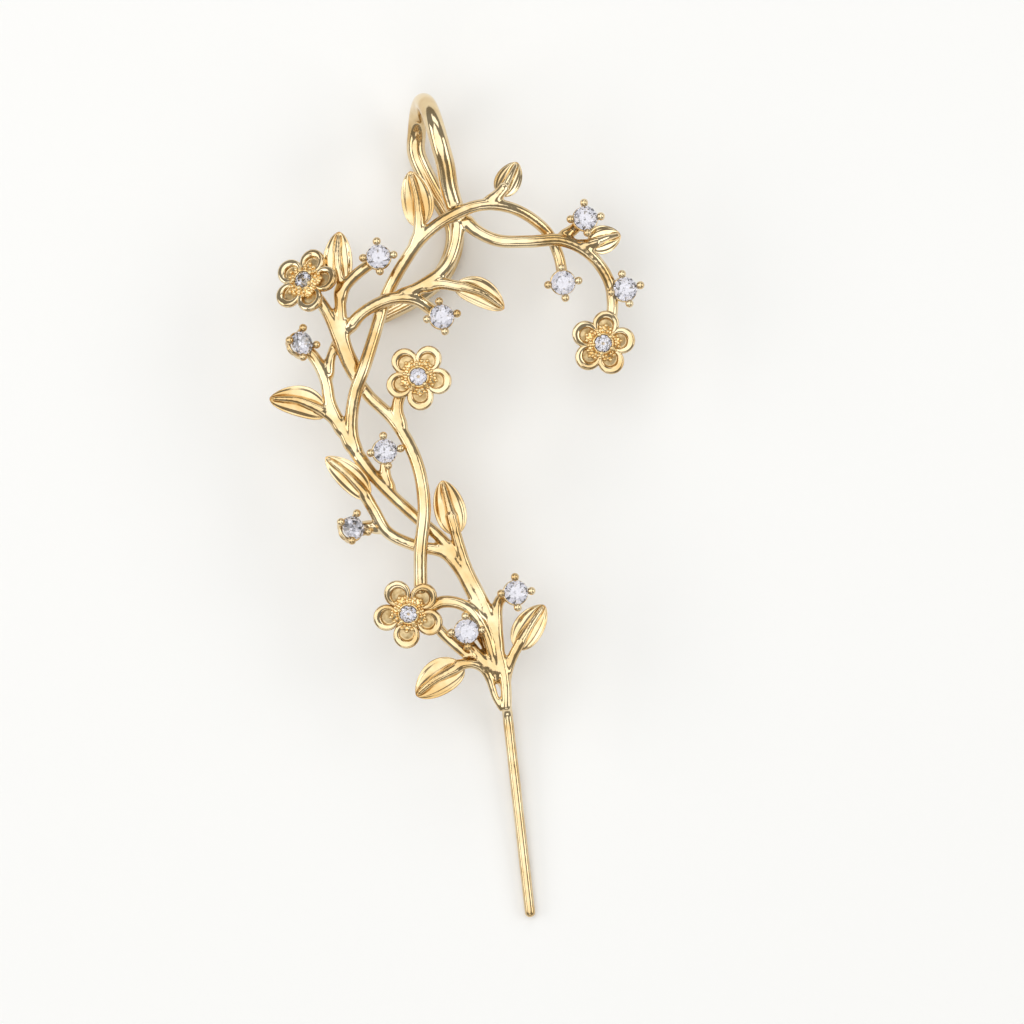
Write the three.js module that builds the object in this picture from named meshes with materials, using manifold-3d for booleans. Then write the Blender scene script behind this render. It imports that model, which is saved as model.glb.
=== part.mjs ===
// Ear cuff: a cast vine of round stems, leaves, flowers and claw-set stones that lies on the outer
// ear, with a thick wire hook over the ear's rim and a thin pin through the lobe.
// The vine is laid out in its own face frame: X to the right, Y up towards the hook, Z out of the
// face. The finished group is then tipped the way the piece lies on a table, face up.
// Millimetres and degrees.
import * as THREE from 'three';
import { mergeVertices } from 'three/addons/utils/BufferGeometryUtils.js';
import Module from 'manifold-3d';

const wasm = await Module();
wasm.setup();

// How the piece lies: turned about X, then about Y.
const restPitch = 1.84;
const restRoll = 2.36;

// The face bulges gently across its width, as the ear does.
const faceBowRadius = 70;

// Hook: a half circle of thick wire over the rim, and a plain leg that bends to lie flat behind the ear.
const hook = {
  wireRadius: 0.8,
  root: [[0.2, 24.4, -0.3], [-0.5, 26.9, 0.1], [-0.8, 28.8, 0.6]],
  legX: -1.2,
  legTop: 30.3,
  frontLift: 0.9,
  bendRadius: 4.05,
  sideShift: 2.2,
  backLeg: [
    [-2.1, 27.4, -7.3], [-0.1, 23.6, -7.5], [-0.9, 20.2, -7.2], [-3.2, 18.0, -7.15], [-6.2, 16.4, -7.5],
  ],
};

// Pin: straight back through the lobe, a short bend, then down behind it.
const pin = {
  wireRadius: 0.43, startX: 4.35, startY: -16.9, depth: 5.4, bendRadius: 1.6, slant: 0.1,
  endX: 6.4, endY: -35.1,
};

// Claw setting with a round brilliant, measured from the stone's girdle.
const claw = {
  count: 4, radius: 0.2, tipRadius: 0.32, tipRing: 1.36, tipLift: 0.12,
  baseRing: 0.6, baseDepth: 1.3, baseHeight: 0.45,
};
const bigStone = { radius: 0.97, tableRadius: 0.56, crown: 0.3, girdle: 0.06, pavilion: 0.8 };
const smallStone = { radius: 0.66, tableRadius: 0.38, crown: 0.2, girdle: 0.05, pavilion: 0.45 };

// Flower: five cupped petals round a seat cup that holds the small stone.
const petal = {
  count: 5, radius: 1.02, height: 0.62, wall: 0.3, edgeShare: 0.5, lipShare: 0.2, floorShare: 0.5,
};
const seat = { flange: 1.8, radius: 1.0, bore: 0.78, floor: 0.3, rim: 0.95, girdleLift: 0.86 };

// Leaf: a pointed oval blade with a midrib.
const leaf = {
  thickness: 0.5, bevel: 0.16, bellyAlong: 0.42, fullness: 0.95, shoulder: 0.3, tipAlong: 0.92, tipSwing: 0.4,
};
const rib = { radius: 0.34, tipShare: 0.6, start: -0.3, rise: 0.12, end: 0.93, endSwing: 0.2 };

const hookSides = 8;
const vineSides = 6;
const twigSides = 5;
const clawSides = 4;
const cupSides = 7;
const bigStoneSides = 12;
const smallStoneSides = 10;
const twigLimit = 0.5;
const stepLength = 1.7;
const thinRadius = 0.05;
const bendSteps = 8;
const fullTurn = 2 * Math.PI;
const degree = fullTurn / 360;

// Stems: radius at the start and end, then the route as [x, y, lift].
const stems = [
  { name: 'left vine', radius: [0.58, 0.46], route: [
    [-8.2, 3.6, -0.2], [-8.8, 6.2, 0.1], [-8.5, 9.3, 0.5], [-7.7, 11.6, 0.5], [-6.9, 14.2, 0.0],
    [-5.8, 17.8, -0.5], [-4.6, 20.1, -0.2], [-2.8, 22.6, 0.2], [-0.4, 24.4, 0.7], [2.5, 25.4, 0.6],
    [5.2, 25.0, 0.2], [7.8, 23.2, -0.6], [8.8, 21.2, -0.8], [9.2, 19.2, -0.8]] },
  { name: 'front vine', radius: [0.58, 0.5], route: [
    [-2.9, -7.6, 0.3], [-2.9, -3.9, 0.7], [-2.6, -0.1, 0.7], [-3.3, 3.7, 0.3], [-5.1, 7.0, -0.1],
    [-7.5, 9.4, -0.5], [-9.1, 11.9, -0.4], [-9.9, 14.0, -0.1], [-10.8, 16.2, 0.1], [-12.4, 18.5, 0.25]] },
  { name: 'twin twig', radius: [0.48, 0.48], route: [
    [-8.2, 10.9, -0.5], [-9.3, 13.6, -0.2], [-9.7, 16.2, 0.0], [-9.8, 18.9, 0.1]] },
  { name: 'stone twig A', radius: [0.47, 0.47], route: [
    [-9.8, 16.6, 0.0], [-9.5, 18.2, 0.1], [-8.4, 19.5, 0.0], [-6.7, 20.8, -0.5]] },
  { name: 'cross vine', radius: [0.51, 0.52], route: [
    [-9.3, 14.5, -0.1], [-7.9, 16.2, 0.3], [-5.5, 17.4, 0.6], [-3.5, 17.4, 0.3], [-1.4, 16.1, -0.55]] },
  { name: 'hook vine', radius: [0.58, 0.5], route: [
    [0.2, 24.7, -0.3], [0.1, 22.3, -0.1], [-0.8, 20.1, 0.0], [-2.9, 18.5, 0.2], [-5.3, 17.4, 0.4]] },
  { name: 'leaf twig 3', radius: [0.48, 0.46], route: [
    [-3.1, 18.2, 0.2], [-1.3, 18.7, 0.3], [0.6, 18.4, 0.3]] },
  { name: 'right vine', radius: [0.55, 0.47], route: [
    [0.5, 24.7, -0.4], [1.6, 23.4, -0.1], [3.6, 22.4, 0.2], [6.4, 22.3, 0.4], [9.1, 22.4, 0.3],
    [11.4, 21.3, 0.2], [13.1, 19.0, 0.0], [13.4, 16.5, -0.2], [12.9, 14.2, -0.1]] },
  { name: 'stone twig H', radius: [0.47, 0.47], route: [
    [8.6, 22.4, 0.2], [10.0, 23.3, 0.0], [11.0, 24.3, -0.6]] },
  { name: 'leaf twig 10', radius: [0.46, 0.48], route: [
    [9.9, 22.2, 0.2], [11.0, 22.0, 0.2], [12.2, 22.3, 0.2]] },
  { name: 'leaf twig 9', radius: [0.48, 0.48], route: [
    [2.3, 25.5, 0.5], [3.4, 26.0, 0.5], [4.3, 27.0, 0.3]] },
  { name: 'leaf twig 1', radius: [0.5, 0.5], route: [
    [-3.8, 21.4, -0.1], [-3.1, 22.8, 0.2], [-3.0, 24.4, 0.3]] },
  { name: 'stone twig B', radius: [0.5, 0.56], route: [
    [-13.2, 13.6, -0.6], [-12.0, 12.5, -0.3], [-11.0, 10.5, 0.0], [-10.6, 8.5, 0.1], [-9.4, 6.1, 0.0],
    [-8.5, 4.2, -0.1]] },
  { name: 'short twig', radius: [0.36, 0.45], route: [
    [-10.0, 14.1, -0.8], [-10.6, 12.4, -0.5], [-10.8, 10.3, 0.0]] },
  { name: 'leaf twig 4', radius: [0.48, 0.5], route: [
    [-11.9, 8.2, 0.2], [-10.5, 7.4, 0.1], [-9.2, 5.5, 0.0]] },
  { name: 'inner vine', radius: [0.54, 0.5], route: [
    [-8.7, 4.8, -0.1], [-7.1, 2.6, -0.1], [-5.1, 0.5, -0.2], [-3.1, -1.3, -0.5], [-1.3, -2.8, -0.4],
    [0.4, -4.8, 0.0]] },
  { name: 'stone twig D', radius: [0.45, 0.45], route: [
    [-5.9, 4.2, -0.4], [-5.9, 2.4, -0.3], [-5.2, 0.7, -0.2]] },
  { name: 'outer vine', radius: [0.52, 0.5], route: [
    [-7.8, 1.0, 0.3], [-6.9, -0.5, 0.1], [-5.7, -2.4, 0.0], [-3.5, -3.5, -0.4], [-1.0, -4.1, -0.3],
    [0.2, -5.3, 0.0], [1.6, -7.9, 0.0], [2.8, -10.4, 0.0]] },
  { name: 'stone twig E', radius: [0.48, 0.5], route: [
    [-8.5, -2.1, -0.7], [-7.2, -1.9, -0.2], [-5.9, -2.3, 0.0]] },
  { name: 'low vine', radius: [0.46, 0.42], route: [
    [-0.35, -0.8, 0.3], [0.1, -2.6, 0.2], [1.05, -5.5, 0.0], [2.75, -9.0, 0.0], [3.9, -13.1, 0.0],
    [4.4, -17.2, 0.0]] },
  { name: 'flower arc', radius: [0.54, 0.46], route: [
    [-2.6, -9.1, 0.0], [-1.0, -8.3, 0.3], [0.9, -8.7, 0.4], [2.4, -10.5, 0.3], [3.3, -13.2, 0.2],
    [3.8, -15.4, 0.1]] },
  { name: 'stone arc F', radius: [0.38, 0.4], route: [
    [1.4, -10.3, -0.7], [2.5, -11.8, -0.4], [3.5, -14.2, -0.1]] },
  { name: 'stone twig G', radius: [0.45, 0.45], route: [
    [5.2, -7.5, -0.6], [3.8, -8.2, -0.15], [3.6, -10.2, 0.1], [3.9, -13.2, 0.0]] },
  { name: 'flower stem 4', radius: [0.48, 0.4], route: [
    [-2.2, -9.7, -0.2], [-0.6, -11.4, -0.3], [1.5, -13.2, -0.2], [3.0, -14.5, 0.0], [3.95, -15.6, 0.0],
    [4.3, -16.6, 0.0]] },
  { name: 'stone twig F', radius: [0.4, 0.4], route: [
    [1.0, -11.6, -0.5], [2.2, -13.0, 0.1], [3.7, -14.6, 0.1]] },
  { name: 'leaf twig 8', radius: [0.46, 0.26], route: [
    [0.0, -13.7, 0.3], [1.5, -13.55, 0.3], [2.4, -14.0, 0.2], [2.95, -14.8, 0.1], [3.3, -15.6, 0.0],
    [3.55, -16.4, 0.0], [3.98, -17.25, 0.0]] },
  { name: 'leaf twig 7', radius: [0.46, 0.42], route: [
    [5.7, -11.5, 0.3], [4.9, -13.0, 0.1], [4.3, -14.8, 0.0]] },
  { name: 'flower stem 2', radius: [0.5, 0.48], route: [
    [-4.4, 9.9, -0.2], [-4.9, 8.2, 0.0], [-4.3, 5.9, 0.0]] },
];

// Leaves: where the blade starts and ends, its width, how far the midrib swings left of the
// straight line between them, the lift, and the angle by which the tip dips.
const leaves = [
  { base: [-3.0, 23.5], tip: [-3.8, 28.3], width: 2.8, swing: -0.2, lift: 0.35, dip: 8 },
  { base: [-9.7, 18.7], tip: [-9.9, 23.2], width: 2.55, swing: 0.2, lift: 0.0, dip: 8 },
  { base: [0.0, 18.6], tip: [4.2, 16.6], width: 2.45, swing: 0.4, lift: 0.3, dip: 6 },
  { base: [-10.9, 7.7], tip: [-15.8, 9.0], width: 2.7, swing: -0.45, lift: 0.3, dip: 6 },
  { base: [-7.3, 0.5], tip: [-11.0, 4.0], width: 2.35, swing: -0.2, lift: 0.4, dip: 6 },
  { base: [0.15, -2.6], tip: [-1.1, 2.0], width: 2.75, swing: 0.0, lift: 0.3, dip: 8 },
  { base: [5.25, -12.3], tip: [7.6, -8.6], width: 2.65, swing: 0.1, lift: 0.3, dip: 14 },
  { base: [0.7, -13.7], tip: [-3.3, -16.3], width: 3.1, swing: -0.25, lift: 0.3, dip: 10 },
  { base: [3.9, 26.2], tip: [5.3, 29.1], width: 2.3, swing: 0.0, lift: 0.4, dip: 24 },
  { base: [11.4, 22.0], tip: [14.1, 23.0], width: 2.5, swing: 0.1, lift: 0.3, dip: 24 },
];

// Claw-set stones: girdle centre, the turn of the claws, and the direction and angle of the lean.
const clawStones = [
  { node: 'stone_a', at: [-6.5, 21.0], lift: 0.75, turn: 6, toward: 90, lean: 6 },
  { node: 'stone_b', at: [-13.0, 13.7], lift: 0.7, turn: -4, toward: 25, lean: 34 },
  { node: 'stone_c', at: [-1.1, 15.9], lift: 0.75, turn: 11, toward: 30, lean: 6 },
  { node: 'stone_d', at: [-5.9, 4.5], lift: 0.75, turn: 9, toward: 30, lean: 12 },
  { node: 'stone_e', at: [-8.6, -2.0], lift: 0.7, turn: -15, toward: 35, lean: 34 },
  { node: 'stone_f', at: [1.0, -10.8], lift: 0.7, turn: 5, toward: 0, lean: 0 },
  { node: 'stone_g', at: [5.2, -7.5], lift: 0.75, turn: 5, toward: 40, lean: 8 },
  { node: 'stone_h', at: [11.1, 24.3], lift: 0.75, turn: 6, toward: 60, lean: 8 },
  { node: 'stone_i', at: [9.2, 18.8], lift: 0.6, turn: 8, toward: -60, lean: 5 },
  { node: 'stone_j', at: [14.5, 18.3], lift: 0.75, turn: 14, toward: 20, lean: 8 },
];

// Flowers: centre, petal ring radius, the turn of the petals, and the lean.
const flowers = [
  { node: 'flower_stone_1', at: [-12.6, 18.8], lift: 0.3, ring: 1.92, turn: 2, toward: 138, lean: 32 },
  { node: 'flower_stone_2', at: [-3.1, 10.8], lift: 0.2, ring: 1.86, turn: 60, toward: 0, lean: 0 },
  { node: 'flower_stone_3', at: [12.5, 13.7], lift: 0.2, ring: 1.8, turn: 8, toward: -30, lean: 8 },
  { node: 'flower_stone_4', at: [-3.9, -9.2], lift: 0.2, ring: 2.05, turn: 48, toward: -105, lean: 10 },
];

const faceLift = (x) => -(x * x) / (2 * faceBowRadius);
const facePoint = (x, y, lift) => new THREE.Vector3(x, y, lift + faceLift(x));

function toSolid(geometry) {
  const bare = geometry.clone();
  bare.deleteAttribute('normal');
  bare.deleteAttribute('uv');
  const merged = mergeVertices(bare, 1e-5);
  return new wasm.Manifold(new wasm.Mesh({
    numProp: 3,
    vertProperties: new Float32Array(merged.attributes.position.array),
    triVerts: new Uint32Array(merged.index.array),
  }));
}

function toGeometry(solid) {
  const mesh = solid.getMesh();
  const geometry = new THREE.BufferGeometry();
  geometry.setAttribute('position', new THREE.BufferAttribute(mesh.vertProperties, 3));
  geometry.setIndex(new THREE.BufferAttribute(mesh.triVerts, 1));
  geometry.computeVertexNormals();
  return geometry;
}

const joinAll = (geometries) => geometries.map(toSolid).reduce((whole, piece) => whole.add(piece));

// A wire along a curve, whose radius runs evenly from the first value to the second. It is extruded
// thin, and each ring of corners is then pushed out from its own centre.
function wire(curve, [startRadius, endRadius], sides, steps) {
  const section = new THREE.Shape();
  const round = new THREE.EllipseCurve(0, 0, thinRadius, thinRadius).getPoints(sides);
  section.setFromPoints(round.slice(0, sides));
  const geometry = new THREE.ExtrudeGeometry(section, { steps, extrudePath: curve, bevelEnabled: false });
  const centres = curve.getSpacedPoints(steps);
  const corners = geometry.attributes.position;
  const corner = new THREE.Vector3();
  for (let i = 0; i < corners.count; i += 1) {
    corner.fromBufferAttribute(corners, i);
    const gaps = centres.map((centre) => centre.distanceTo(corner));
    const ring = gaps.indexOf(Math.min(...gaps));
    const radius = startRadius + (endRadius - startRadius) * (ring / steps);
    corner.sub(centres[ring]).setLength(radius).add(centres[ring]);
    corners.setXYZ(i, corner.x, corner.y, corner.z);
  }
  return geometry;
}

function wireThrough(points, radii, sides) {
  const curve = new THREE.CatmullRomCurve3(points, false, 'centripetal');
  return wire(curve, radii, sides, Math.max(2, Math.ceil(curve.getLength() / stepLength)));
}

const ball = (radius, point) => {
  const sphere = new THREE.SphereGeometry(radius, hookSides, hookSides / 2);
  return sphere.translate(point.x, point.y, point.z);
};

// Where a setting sits: on the face at (x, y), leaned towards a direction and turned on itself.
function seatMatrix({ at: [x, y], lift, turn, toward, lean }) {
  const leanAxis = new THREE.Vector3(-Math.sin(toward * degree), Math.cos(toward * degree), 0);
  const rotation = new THREE.Matrix4().makeRotationAxis(leanAxis, lean * degree);
  rotation.multiply(new THREE.Matrix4().makeRotationZ(turn * degree));
  return rotation.setPosition(facePoint(x, y, lift));
}

function stemGeometries() {
  return stems.map(({ radius, route }) => {
    const points = route.map(([x, y, lift]) => facePoint(x, y, lift));
    return wireThrough(points, radius, Math.max(...radius) > twigLimit ? vineSides : twigSides);
  });
}

// The foot's two stems end in one rounded tip.
function footGeometry() {
  const { radius, route } = stems.find(({ name }) => name === 'low vine');
  const [x, y, lift] = route.at(-1);
  return ball(radius[1], facePoint(x, y, lift));
}

function hookGeometries() {
  const points = hook.root.map((point) => new THREE.Vector3(...point));
  for (let i = 0; i <= bendSteps; i += 1) {
    const angle = (i / bendSteps) * Math.PI;
    const x = hook.legX - hook.sideShift * Math.sin(angle / 2);
    const lift = hook.frontLift - hook.bendRadius * (1 - Math.cos(angle));
    points.push(new THREE.Vector3(x, hook.legTop + hook.bendRadius * Math.sin(angle), lift));
  }
  points.push(...hook.backLeg.map((point) => new THREE.Vector3(...point)));
  const { wireRadius } = hook;
  return [wireThrough(points, [wireRadius, wireRadius], hookSides), ball(wireRadius, points.at(-1))];
}

function pinGeometries() {
  const end = facePoint(pin.endX, pin.endY, -pin.depth);
  const points = [
    facePoint(pin.startX, pin.startY, 0),
    facePoint(pin.startX, pin.startY, -0.5 * (pin.depth - pin.bendRadius)),
  ];
  for (let i = 0; i <= bendSteps; i += 2) {
    const angle = (i / bendSteps) * 0.5 * Math.PI;
    const drop = pin.bendRadius * (1 - Math.cos(angle));
    const lift = -pin.depth + pin.bendRadius * (1 - Math.sin(angle));
    points.push(facePoint(pin.startX + pin.slant * drop, pin.startY - drop, lift));
  }
  points.push(end);
  return [wireThrough(points, [pin.wireRadius, pin.wireRadius], hookSides), ball(pin.wireRadius, end)];
}

// A blade outlined by two curves from base to tip, laid along the midrib and tipped down at the end.
function leafGeometries({ base, tip, width, swing, lift, dip }) {
  const start = facePoint(...base, lift);
  const flatLength = Math.hypot(tip[0] - base[0], tip[1] - base[1]);
  const length = flatLength / Math.cos(dip * degree);
  const outline = new THREE.Shape();
  const half = width / 2 - leaf.bevel;
  const belly = leaf.bellyAlong * length;
  const shoulder = belly + leaf.shoulder * length;
  const nearTip = [leaf.tipAlong * length, leaf.tipSwing * swing];
  outline.moveTo(0, 0);
  outline.bezierCurveTo(0, leaf.fullness * half, belly / 2, half + swing, belly, half + swing);
  outline.bezierCurveTo(shoulder, half + swing, ...nearTip, length, 0);
  outline.bezierCurveTo(...nearTip, shoulder, swing - half, belly, swing - half);
  outline.bezierCurveTo(belly / 2, swing - half, 0, -leaf.fullness * half, 0, 0);
  const blade = new THREE.ExtrudeGeometry(outline, {
    depth: leaf.thickness, curveSegments: 3,
    bevelSize: leaf.bevel, bevelThickness: leaf.bevel, bevelSegments: 1,
  });
  blade.translate(0, 0, -leaf.thickness);
  const midrib = wireThrough([
    new THREE.Vector3(rib.start, 0, 0),
    new THREE.Vector3(length / 2, swing, rib.rise),
    new THREE.Vector3(rib.end * length, rib.endSwing * swing, 0),
  ], [rib.radius, rib.tipShare * rib.radius], clawSides);
  const along = new THREE.Matrix4().makeRotationZ(Math.atan2(tip[1] - base[1], tip[0] - base[0]));
  along.multiply(new THREE.Matrix4().makeRotationY(dip * degree)).setPosition(start);
  return [blade.applyMatrix4(along), midrib.applyMatrix4(along)];
}

// Four claws rise from a small base under the stone, each a rod with a ball at its tip.
function clawGeometries(row) {
  const spread = claw.tipRing - claw.baseRing;
  const rise = claw.tipLift + claw.baseDepth;
  const length = Math.hypot(spread, rise);
  const { radius, tipRadius } = claw;
  const profile = [
    [0, 0], [radius, 0], [radius, length - tipRadius], [tipRadius, length], [0, length + tipRadius],
  ];
  const baseProfile = [[0, 0], [claw.baseRing, 0], [claw.baseRing, claw.baseHeight], [0, claw.baseHeight]];
  const pieces = [cup(baseProfile, twigSides).translate(0, 0, -claw.baseDepth - radius)];
  for (let i = 0; i < claw.count; i += 1) {
    const rod = cup(profile, clawSides).rotateY(Math.atan2(spread, rise));
    pieces.push(rod.translate(claw.baseRing, 0, -claw.baseDepth).rotateZ((i / claw.count) * fullTurn));
  }
  return pieces.map((piece) => piece.applyMatrix4(seatMatrix(row)));
}

// A cup that is closed on its axis: a petal when wide and shallow, the seat when narrow.
function cup(profile, sides) {
  const points = profile.map(([r, z]) => new THREE.Vector2(r, z));
  return new THREE.LatheGeometry(points, sides).rotateX(Math.PI / 2);
}

function flowerGeometries(row) {
  const { radius, height, wall } = petal;
  const halfWall = wall / 2;
  const petalProfile = [[0, 0], [radius, petal.edgeShare * height], [radius - petal.lipShare * wall, height],
    [petal.floorShare * radius, wall], [0, wall]];
  const seatProfile = [
    [0, -halfWall], [seat.flange, -halfWall], [seat.flange, halfWall], [seat.radius, halfWall],
    [seat.radius, seat.rim], [seat.bore, seat.rim], [seat.bore, seat.floor], [0, seat.floor],
  ];
  const pieces = [cup(seatProfile, cupSides)];
  for (let i = 0; i < petal.count; i += 1) {
    const angle = (i / petal.count) * fullTurn;
    const [x, y] = [row.ring * Math.cos(angle), row.ring * Math.sin(angle)];
    pieces.push(cup(petalProfile, cupSides).translate(x, y, 0));
  }
  return pieces.map((piece) => piece.applyMatrix4(seatMatrix(row)));
}

// A round brilliant, its girdle on z = 0.
function stoneGeometry({ radius, tableRadius, crown, girdle, pavilion }, sides) {
  return cup([[0, -pavilion], [radius, -girdle], [radius, 0], [tableRadius, crown], [0, crown]], sides);
}

const gold = { color: 0xe3c587, roughness: 0.15, metalness: 1 };
const zirconia = { color: 0xf2f3fa, roughness: 0.02, metalness: 0 };

function namedMesh(name, geometry, finish) {
  const mesh = new THREE.Mesh(geometry, new THREE.MeshStandardMaterial(finish));
  mesh.name = name;
  return mesh;
}

const face = new THREE.Group();
const vine = joinAll([
  ...stemGeometries(),
  footGeometry(),
  ...hookGeometries(),
  ...pinGeometries(),
  ...leaves.flatMap(leafGeometries),
  ...clawStones.flatMap(clawGeometries),
  ...flowers.flatMap(flowerGeometries),
]);
face.add(namedMesh('gold_vine', toGeometry(vine), gold));

for (const row of clawStones) {
  const stone = stoneGeometry(bigStone, bigStoneSides).applyMatrix4(seatMatrix(row));
  face.add(namedMesh(row.node, stone, zirconia));
}
for (const row of flowers) {
  const stone = stoneGeometry(smallStone, smallStoneSides).translate(0, 0, seat.girdleLift);
  face.add(namedMesh(row.node, stone.applyMatrix4(seatMatrix(row)), zirconia));
}

// The group's origin is under the middle of the piece, on the surface that it lies on.
const earCuff = new THREE.Group();
face.rotation.set(restPitch * degree, restRoll * degree, 0, 'YXZ');
earCuff.add(face);
earCuff.updateMatrixWorld(true);
const extent = new THREE.Box3().setFromObject(earCuff, true);
const middle = extent.getCenter(new THREE.Vector3());
face.position.set(-middle.x, -middle.y, -extent.min.z);

export default earCuff;
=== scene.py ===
import math

import bpy
import numpy as np
from mathutils import Matrix, Vector


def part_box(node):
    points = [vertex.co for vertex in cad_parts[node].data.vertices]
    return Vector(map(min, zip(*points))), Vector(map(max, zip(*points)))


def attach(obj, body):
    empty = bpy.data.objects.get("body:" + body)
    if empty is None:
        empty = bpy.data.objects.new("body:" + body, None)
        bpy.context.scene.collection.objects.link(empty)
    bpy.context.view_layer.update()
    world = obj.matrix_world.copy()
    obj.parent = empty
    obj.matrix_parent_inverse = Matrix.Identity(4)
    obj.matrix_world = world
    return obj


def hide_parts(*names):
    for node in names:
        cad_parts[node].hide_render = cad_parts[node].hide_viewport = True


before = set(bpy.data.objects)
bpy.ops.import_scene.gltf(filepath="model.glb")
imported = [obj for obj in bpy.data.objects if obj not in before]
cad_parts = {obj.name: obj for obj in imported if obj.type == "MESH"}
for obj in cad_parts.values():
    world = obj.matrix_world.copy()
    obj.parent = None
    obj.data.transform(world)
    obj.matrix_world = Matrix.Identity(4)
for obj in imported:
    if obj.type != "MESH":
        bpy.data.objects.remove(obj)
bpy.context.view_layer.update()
print("frame loaded:", len(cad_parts), "nodes")

mm = 0.001
fullTurn = 2 * math.pi

# The ear cuff is laid out face up in its own frame, in millimetres: X right, Y towards the hook, Z out
# of the face. It lies tipped about X and then about Y, in degrees, and its face bows across the width.
lie = {"pitch": 1.84, "roll": 2.36, "bowRadius": 70.0}

# Claw-set stones: girdle centre, lift, the turn of the claws, and the direction and angle of the lean.
clawSeats = {
    "stone_a": {"at": (-6.5, 21.0), "lift": 0.75, "turn": 6, "toward": 90, "lean": 6},
    "stone_b": {"at": (-13.0, 13.7), "lift": 0.7, "turn": -4, "toward": 25, "lean": 34},
    "stone_c": {"at": (-1.1, 15.9), "lift": 0.75, "turn": 11, "toward": 30, "lean": 6},
    "stone_d": {"at": (-5.9, 4.5), "lift": 0.75, "turn": 9, "toward": 30, "lean": 12},
    "stone_e": {"at": (-8.6, -2.0), "lift": 0.7, "turn": -15, "toward": 35, "lean": 34},
    "stone_f": {"at": (1.0, -10.8), "lift": 0.7, "turn": 5, "toward": 0, "lean": 0},
    "stone_g": {"at": (5.2, -7.5), "lift": 0.75, "turn": 5, "toward": 40, "lean": 8},
    "stone_h": {"at": (11.1, 24.3), "lift": 0.75, "turn": 6, "toward": 60, "lean": 8},
    "stone_i": {"at": (9.2, 18.8), "lift": 0.6, "turn": 8, "toward": -60, "lean": 5},
    "stone_j": {"at": (14.5, 18.3), "lift": 0.75, "turn": 14, "toward": 20, "lean": 8},
}

# Flowers: centre, lift, the radius of the ring of petals, the turn of the petals, and the lean.
flowerSeats = {
    "flower_stone_1": {"at": (-12.6, 18.8), "lift": 0.3, "ring": 1.92, "turn": 2, "toward": 138, "lean": 32},
    "flower_stone_2": {"at": (-3.1, 10.8), "lift": 0.2, "ring": 1.86, "turn": 60, "toward": 0, "lean": 0},
    "flower_stone_3": {"at": (12.5, 13.7), "lift": 0.2, "ring": 1.8, "turn": 8, "toward": -30, "lean": 8},
    "flower_stone_4": {"at": (-3.9, -9.2), "lift": 0.2, "ring": 2.05, "turn": 48, "toward": -105, "lean": 10},
}


# A point on the face, which bows back to both sides.
def facePoint(x, y, lift):
    return Vector((x, y, lift - x * x / (2 * lie["bowRadius"])))


# Where a setting sits: leaned towards a direction and turned on itself.
def seatMatrix(seat):
    toward = math.radians(seat["toward"])
    leanAxis = Vector((-math.sin(toward), math.cos(toward), 0))
    lean = Matrix.Rotation(math.radians(seat["lean"]), 4, leanAxis)
    turn = Matrix.Rotation(math.radians(seat["turn"]), 4, "Z")
    return Matrix.Translation(facePoint(*seat["at"], seat["lift"])) @ lean @ turn


# The frame's own stone, whose box says where the face frame lies in the row frame.
cadStone = {"radius": 0.97, "tableRadius": 0.56, "crown": 0.3, "girdle": 0.06, "pavilion": 0.8,
            "sides": 12}


def faceToRowMatrix(node):
    roll = Matrix.Rotation(math.radians(lie["roll"]), 4, "Y")
    turn = roll @ Matrix.Rotation(math.radians(lie["pitch"]), 4, "X")
    place = turn @ seatMatrix(clawSeats[node])
    rings = [(0, -cadStone["pavilion"]), (cadStone["radius"], -cadStone["girdle"]),
             (cadStone["radius"], 0), (cadStone["tableRadius"], cadStone["crown"])]
    angles = [fullTurn * i / cadStone["sides"] for i in range(cadStone["sides"])]
    corners = [place @ Vector((r * math.sin(a), r * math.cos(a), z)) for r, z in rings for a in angles]
    lowest = Vector([min(corner[axis] for corner in corners) for axis in range(3)])
    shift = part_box(node)[0] - lowest * mm
    return Matrix.Translation(shift) @ Matrix.Scale(mm, 4) @ turn


faceToRow = faceToRowMatrix("stone_f")
print("face frame's origin in the row frame, mm:", [round(v / mm, 3) for v in faceToRow.translation])


# The linear values of an sRGB hex colour.
def linearColour(hexValue):
    channels = [int(hexValue[i:i + 2], 16) / 255 for i in (1, 3, 5)]
    return [c / 12.92 if c <= 0.04045 else ((c + 0.055) / 1.055) ** 2.4 for c in channels] + [1.0]


# Adds a node; an input that is given a socket is linked to it.
def addNode(tree, kind, settings=None, inputs=None):
    node = tree.nodes.new(kind)
    for name, value in (settings or {}).items():
        setattr(node, name, value)
    for key, value in (inputs or {}).items():
        if isinstance(value, bpy.types.NodeSocket):
            tree.links.new(value, node.inputs[key])
        else:
            node.inputs[key].default_value = value
    return node


def newObject(name, data):
    made = bpy.data.objects.new(name, data)
    bpy.context.scene.collection.objects.link(made)
    return made


def meshFrom(name, points, faces):
    mesh = bpy.data.meshes.new(name)
    mesh.from_pydata([tuple(p) for p in points], [], faces)
    mesh.update()
    return mesh


# The object's shape with all its modifiers, as a plain mesh; the object and its modifiers go.
def bakedMesh(obj, name):
    bpy.context.view_layer.update()
    graph = bpy.context.evaluated_depsgraph_get()
    mesh = bpy.data.meshes.new_from_object(obj.evaluated_get(graph), depsgraph=graph)
    mesh.name = name
    for i in reversed(range(len(mesh.materials))):
        if mesh.materials[i] is None:
            mesh.materials.pop(index=i)
    obj.modifiers.clear()
    bpy.data.objects.remove(obj)
    return mesh


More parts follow.
